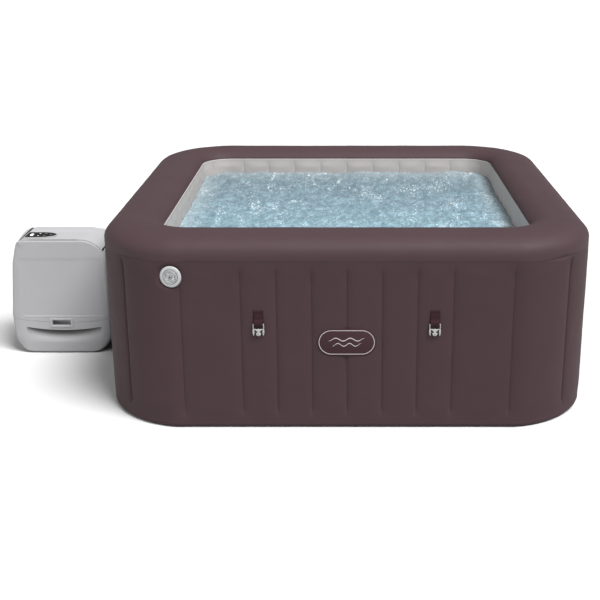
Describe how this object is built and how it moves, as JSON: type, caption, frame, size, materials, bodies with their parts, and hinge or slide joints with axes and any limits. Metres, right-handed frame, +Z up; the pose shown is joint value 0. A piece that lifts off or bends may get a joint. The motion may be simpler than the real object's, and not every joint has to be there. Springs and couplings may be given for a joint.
{
  "type": "inflatable hot tub",
  "caption": "Square inflatable hot tub with a tube rim and pleated walls, an inflation valve, hinged cover clips, hydro jets and a freestanding pump and heater unit joined by screwed couplings.",
  "frame": {"origin": "centre of the tub's base, on the floor", "axes": "+Z up; -Y is the front, with the badge and the inflation valve; the pump unit stands on the -X side"},
  "size_m": [2.627, 2.0232, 0.8],
  "materials": {
    "pvc_dark": "satin laminated PVC with a fine grain",
    "pvc_light": "satin laminated PVC",
    "pvc_floor": "embossed PVC",
    "baffle_sheet": "woven drop-stitch sheet",
    "base_cloth": "coarse-grained PVC",
    "fitting_grey": "moulded",
    "nozzle_white": "moulded",
    "valve_grey": "moulded",
    "valve_dark": "moulded",
    "spring_steel": "bright",
    "drain_dark": "moulded",
    "webbing": "polypropylene webbing",
    "clip_grey": "moulded acetal",
    "badge_print": "printed film",
    "nut_grey": "moulded",
    "rubber_black": "moulded",
    "tray_grey": "moulded",
    "casing_grey": "fine satin texture",
    "recess_grey": "fine satin texture",
    "panel_black": "polished",
    "button_black": "satin",
    "board_green": "lacquered",
    "box_black": "moulded",
    "motor_black": "painted",
    "rotor_brass": "turned",
    "fan_grey": "satin",
    "heater_steel": "brushed"
  },
  "bodies": {
    "tub_and_pump": {"outer_wall": "pvc_dark", "top_ring": "pvc_dark", "inner_wall": "pvc_light", "wall_baffles": "baffle_sheet", "base_sheet": "base_cloth", "floor_liner": "pvc_floor", "air_ring": "fitting_grey", "jet_housings": "fitting_grey", "jet_manifold": "fitting_grey", "air_valve_body": "valve_grey", "air_valve_core": "valve_grey", "air_valve_spring": "spring_steel", "drain_body": "drain_dark", "strap_patches": "webbing", "badge": "badge_print", "wall_fittings": "fitting_grey", "filter_housing": "fitting_grey", "filter_cartridge": "nozzle_white", "seals": "rubber_black", "pump_feet": "rubber_black", "cover_screws": "spring_steel", "base_tray": "tray_grey", "front_cover": "casing_grey", "rear_cover": "casing_grey", "top_console": "casing_grey", "grip_inserts": "recess_grey", "panel_glass": "panel_black", "control_board": "board_green", "power_box": "box_black", "cable_gland": "box_black", "filter_pump": "motor_black", "jet_pump": "motor_black", "blower_case": "box_black", "heater_tube": "heater_steel", "pump_pipes": "fitting_grey"},
    "jet_nozzle_1": {"jet_nozzle_1": "nozzle_white"},
    "jet_nozzle_2": {"jet_nozzle_2": "nozzle_white"},
    "jet_nozzle_3": {"jet_nozzle_3": "nozzle_white"},
    "jet_nozzle_4": {"jet_nozzle_4": "nozzle_white"},
    "jet_nozzle_5": {"jet_nozzle_5": "nozzle_white"},
    "jet_nozzle_6": {"jet_nozzle_6": "nozzle_white"},
    "air_valve_plunger": {"air_valve_plunger": "valve_dark"},
    "drain_cap": {"drain_cap": "drain_dark"},
    "filter_cap": {"filter_cap": "fitting_grey"},
    "clip_front_left": {"clip_front_left": "clip_grey"},
    "clip_front_right": {"clip_front_right": "clip_grey"},
    "clip_back_left": {"clip_back_left": "clip_grey"},
    "clip_back_right": {"clip_back_right": "clip_grey"},
    "union_nut_inlet": {"union_nut_inlet": "nut_grey"},
    "union_nut_return": {"union_nut_return": "nut_grey"},
    "union_nut_jets": {"union_nut_jets": "nut_grey"},
    "union_nut_air": {"union_nut_air": "nut_grey"},
    "button_1": {"button_1": "button_black"},
    "button_2": {"button_2": "button_black"},
    "button_3": {"button_3": "button_black"},
    "button_4": {"button_4": "button_black"},
    "button_5": {"button_5": "button_black"},
    "filter_rotor": {"filter_rotor": "rotor_brass"},
    "jet_rotor": {"jet_rotor": "rotor_brass"},
    "blower_fan": {"blower_fan": "fan_grey"}
  },
  "joints": [
    {"name": "jet_nozzle_1_turn", "type": "hinge", "parent": "tub_and_pump", "child": "jet_nozzle_1", "pos_m": [-0.348, -0.764, 0.33], "axis": [0, -1, 0], "continuous": true},
    {"name": "jet_nozzle_2_turn", "type": "hinge", "parent": "tub_and_pump", "child": "jet_nozzle_2", "pos_m": [0.348, -0.764, 0.33], "axis": [0, -1, 0], "continuous": true},
    {"name": "jet_nozzle_3_turn", "type": "hinge", "parent": "tub_and_pump", "child": "jet_nozzle_3", "pos_m": [0.764, -0.348, 0.33], "axis": [1, 0, 0], "continuous": true},
    {"name": "jet_nozzle_4_turn", "type": "hinge", "parent": "tub_and_pump", "child": "jet_nozzle_4", "pos_m": [0.764, 0.348, 0.33], "axis": [1, 0, 0], "continuous": true},
    {"name": "jet_nozzle_5_turn", "type": "hinge", "parent": "tub_and_pump", "child": "jet_nozzle_5", "pos_m": [0.348, 0.764, 0.33], "axis": [0, 1, 0], "continuous": true},
    {"name": "jet_nozzle_6_turn", "type": "hinge", "parent": "tub_and_pump", "child": "jet_nozzle_6", "pos_m": [-0.348, 0.764, 0.33], "axis": [0, 1, 0], "continuous": true},
    {"name": "air_valve_press", "type": "slide", "parent": "tub_and_pump", "child": "air_valve_plunger", "axis": [0.1616, 0.9869, 0], "range_m": [0, 0.008], "stiffness_N_per_m": 300, "springref_m": -0.004},
    {"name": "drain_cap_turn", "type": "hinge", "parent": "tub_and_pump", "child": "drain_cap", "pos_m": [1.02, 0.25, 0.075], "axis": [1, 0, 0], "range_deg": [0, 540]},
    {"name": "filter_cap_turn", "type": "hinge", "parent": "tub_and_pump", "child": "filter_cap", "pos_m": [-0.667, -0.095, 0.21], "axis": [1, 0, 0], "range_deg": [0, 60]},
    {"name": "clip_front_left_swing", "type": "hinge", "parent": "tub_and_pump", "child": "clip_front_left", "pos_m": [-0.347, -1.007, 0.45], "axis": [-1, 0, 0], "range_deg": [0, 120]},
    {"name": "clip_front_right_swing", "type": "hinge", "parent": "tub_and_pump", "child": "clip_front_right", "pos_m": [0.347, -1.007, 0.45], "axis": [-1, 0, 0], "range_deg": [0, 120]},
    {"name": "clip_back_left_swing", "type": "hinge", "parent": "tub_and_pump", "child": "clip_back_left", "pos_m": [-0.347, 1.007, 0.45], "axis": [1, 0, 0], "range_deg": [0, 120]},
    {"name": "clip_back_right_swing", "type": "hinge", "parent": "tub_and_pump", "child": "clip_back_right", "pos_m": [0.347, 1.007, 0.45], "axis": [1, 0, 0], "range_deg": [0, 120]},
    {"name": "union_nut_inlet_turn", "type": "hinge", "parent": "tub_and_pump", "child": "union_nut_inlet", "pos_m": [-1.06, -0.095, 0.21], "axis": [1, 0, 0], "range_deg": [0, 720]},
    {"name": "union_nut_return_turn", "type": "hinge", "parent": "tub_and_pump", "child": "union_nut_return", "pos_m": [-1.06, 0.095, 0.21], "axis": [1, 0, 0], "range_deg": [0, 720]},
    {"name": "union_nut_jets_turn", "type": "hinge", "parent": "tub_and_pump", "child": "union_nut_jets", "pos_m": [-1.06, 0, 0.33], "axis": [1, 0, 0], "range_deg": [0, 720]},
    {"name": "union_nut_air_turn", "type": "hinge", "parent": "tub_and_pump", "child": "union_nut_air", "pos_m": [-1.06, 0, 0.47], "axis": [1, 0, 0], "range_deg": [0, 720]},
    {"name": "button_1_press", "type": "slide", "parent": "tub_and_pump", "child": "button_1", "axis": [0, 0, -1], "range_m": [0, 0.001], "stiffness_N_per_m": 800, "springref_m": -0.001},
    {"name": "button_2_press", "type": "slide", "parent": "tub_and_pump", "child": "button_2", "axis": [0, 0, -1], "range_m": [0, 0.001], "stiffness_N_per_m": 800, "springref_m": -0.001},
    {"name": "button_3_press", "type": "slide", "parent": "tub_and_pump", "child": "button_3", "axis": [0, 0, -1], "range_m": [0, 0.001], "stiffness_N_per_m": 800, "springref_m": -0.001},
    {"name": "button_4_press", "type": "slide", "parent": "tub_and_pump", "child": "button_4", "axis": [0, 0, -1], "range_m": [0, 0.001], "stiffness_N_per_m": 800, "springref_m": -0.001},
    {"name": "button_5_press", "type": "slide", "parent": "tub_and_pump", "child": "button_5", "axis": [0, 0, -1], "range_m": [0, 0.001], "stiffness_N_per_m": 800, "springref_m": -0.001},
    {"name": "filter_rotor_spin", "type": "hinge", "parent": "tub_and_pump", "child": "filter_rotor", "pos_m": [-1.25, -0.075, 0.1], "axis": [1, 0, 0], "continuous": true},
    {"name": "jet_rotor_spin", "type": "hinge", "parent": "tub_and_pump", "child": "jet_rotor", "pos_m": [-1.25, 0.07, 0.11], "axis": [1, 0, 0], "continuous": true},
    {"name": "blower_fan_spin", "type": "hinge", "parent": "tub_and_pump", "child": "blower_fan", "pos_m": [-1.44, 0, 0.36], "axis": [0, 0, 1], "continuous": true}
  ]
}
